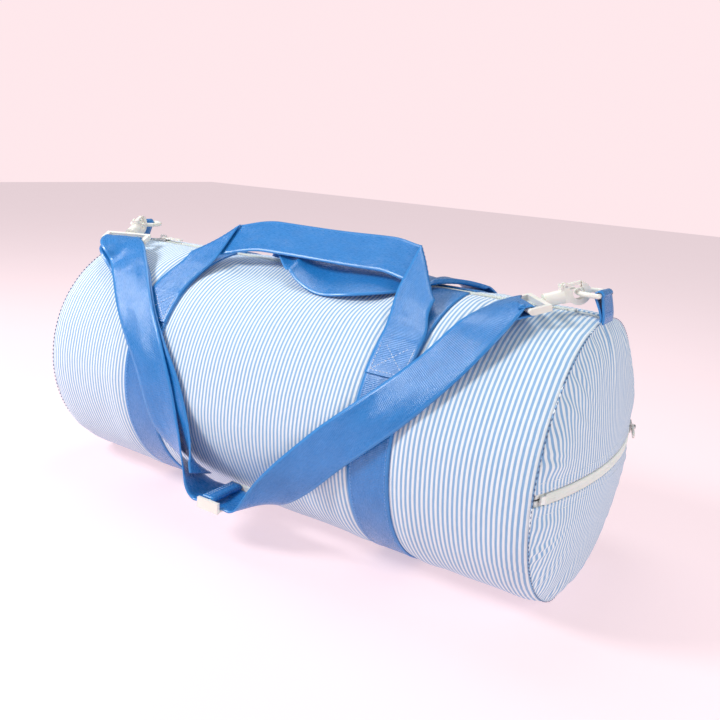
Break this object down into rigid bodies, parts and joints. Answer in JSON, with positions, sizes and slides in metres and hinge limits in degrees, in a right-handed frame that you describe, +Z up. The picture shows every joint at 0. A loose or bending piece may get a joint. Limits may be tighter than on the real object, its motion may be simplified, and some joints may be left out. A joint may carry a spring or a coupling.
{
  "type": "duffel bag",
  "caption": "Cylindrical striped cloth duffel with webbing bands and handles, a clip-on shoulder strap, a zip along the top and a zip pocket in one end.",
  "frame": {"origin": "middle of the flat underside that the bag rests on", "axes": "+X along the bag towards the end with the zip pocket, -Y towards the front where the strap hangs, +Z up"},
  "size_m": [0.5748, 0.2702, 0.2732],
  "materials": {
    "striped_cloth": "puckered cotton with narrow blue and white stripes round the bag",
    "lining": "plain woven lining",
    "webbing": "smooth blue nylon webbing with a fine crosswise rib and a satin sheen",
    "zip_tape": "herringbone zip tape",
    "zip_coil": "moulded nylon coil",
    "cream_plastic": "moulded off-white plastic",
    "zip_metal": "nickel-plated zip slider",
    "pin_steel": "steel pin"
  },
  "bodies": {
    "bag": {"body_panel": "striped_cloth", "end_panel_left": "striped_cloth", "end_panel_upper": "striped_cloth", "end_panel_lower": "striped_cloth", "body_lining": "lining", "end_lining_left": "lining", "pocket_bag": "lining", "seam_binding_left": "lining", "seam_binding_right": "lining", "girth_band_left": "webbing", "girth_band_right": "webbing", "handle_laps_front": "webbing", "handle_laps_rear": "webbing", "d_ring_tab_left": "webbing", "d_ring_tab_right": "webbing", "main_zip_tape_front": "zip_tape", "main_zip_tape_rear": "zip_tape", "main_zip_coil_front": "zip_coil", "main_zip_coil_rear": "zip_coil", "main_zip_stops": "zip_coil", "pocket_zip_tape_upper": "zip_tape", "pocket_zip_tape_lower": "zip_tape", "pocket_zip_coil_upper": "zip_coil", "pocket_zip_coil_lower": "zip_coil", "pocket_zip_stops": "zip_coil"},
    "front_handle": {"handle_front": "webbing"},
    "rear_handle": {"handle_rear": "webbing"},
    "strap": {"shoulder_strap": "webbing", "hook_eye_left": "cream_plastic", "hook_eye_right": "cream_plastic"},
    "adjuster": {"strap_adjuster": "cream_plastic", "strap_end_loop": "webbing"},
    "left_hook": {"hook_body_left": "cream_plastic", "gate_pin_left": "pin_steel"},
    "right_hook": {"hook_body_right": "cream_plastic", "gate_pin_right": "pin_steel"},
    "left_gate": {"hook_gate_left": "cream_plastic"},
    "right_gate": {"hook_gate_right": "cream_plastic"},
    "left_ring": {"d_ring_left": "cream_plastic"},
    "right_ring": {"d_ring_right": "cream_plastic"},
    "main_slider": {"main_zip_slider": "zip_metal"},
    "main_pull": {"main_zip_pull": "cream_plastic"},
    "pocket_slider": {"pocket_zip_slider": "zip_metal"},
    "pocket_pull": {"pocket_zip_pull": "cream_plastic"}
  },
  "joints": [
    {"name": "front_handle_swing", "type": "hinge", "parent": "bag", "child": "front_handle", "pos_m": [0, -0.08416, 0.20325], "axis": [1, 0, 0], "range_deg": [0, 58]},
    {"name": "rear_handle_swing", "type": "hinge", "parent": "bag", "child": "rear_handle", "pos_m": [0, 0.08416, 0.20325], "axis": [-1, 0, 0], "range_deg": [0, 140]},
    {"name": "strap_swing", "type": "hinge", "parent": "bag", "child": "strap", "pos_m": [0.24268, -0.00984, 0.25], "axis": [-1, -0.0077, 0], "range_deg": [0, 33]},
    {"name": "adjuster_slide", "type": "slide", "parent": "strap", "child": "adjuster", "axis": [1, 0, 0], "range_m": [-0.004, 0.004]},
    {"name": "left_hook_swivel", "type": "hinge", "parent": "strap", "child": "left_hook", "pos_m": [-0.24766, -0.01359, 0.25], "axis": [-0.4062, 0.8712, 0.2756], "range_deg": [-15, 15]},
    {"name": "right_hook_swivel", "type": "hinge", "parent": "strap", "child": "right_hook", "pos_m": [0.24268, -0.00984, 0.25], "axis": [0.7255, 0.6306, 0.2756], "range_deg": [-15, 15]},
    {"name": "left_gate_hinge", "type": "hinge", "parent": "left_hook", "child": "left_gate", "pos_m": [-0.24294, -0.02372, 0.2545], "axis": [-0.9063, -0.4226, 0], "range_deg": [0, 7], "stiffness_Nm_per_rad": 0.02, "springref_deg": -5.73},
    {"name": "right_gate_hinge", "type": "hinge", "parent": "right_hook", "child": "right_gate", "pos_m": [0.23425, -0.01717, 0.2545], "axis": [-0.6561, 0.7547, 0], "range_deg": [0, 7], "stiffness_Nm_per_rad": 0.02, "springref_deg": -5.73},
    {"name": "left_ring_tilt", "type": "hinge", "parent": "bag", "child": "left_ring", "pos_m": [-0.26, 0, 0.25], "axis": [0, 1, 0], "range_deg": [-8, 8]},
    {"name": "right_ring_tilt", "type": "hinge", "parent": "bag", "child": "right_ring", "pos_m": [0.26, 0, 0.25], "axis": [0, 1, 0], "range_deg": [-8, 8]},
    {"name": "main_zip_travel", "type": "slide", "parent": "bag", "child": "main_slider", "axis": [1, 0, 0], "range_m": [0, 0.453]},
    {"name": "main_pull_hinge", "type": "hinge", "parent": "main_slider", "child": "main_pull", "pos_m": [-0.2265, 0, 0.2375], "axis": [0, -1, 0], "range_deg": [0, 110]},
    {"name": "pocket_zip_travel", "type": "hinge", "parent": "bag", "child": "pocket_slider", "pos_m": [-0.05675, 0, 0.118], "axis": [0, 0, -1], "range_deg": [0, 33.41]},
    {"name": "pocket_pull_hinge", "type": "hinge", "parent": "pocket_slider", "child": "pocket_pull", "pos_m": [0.27591, 0.09983, 0.118], "axis": [0, 0, 1], "range_deg": [0, 100]}
  ]
}
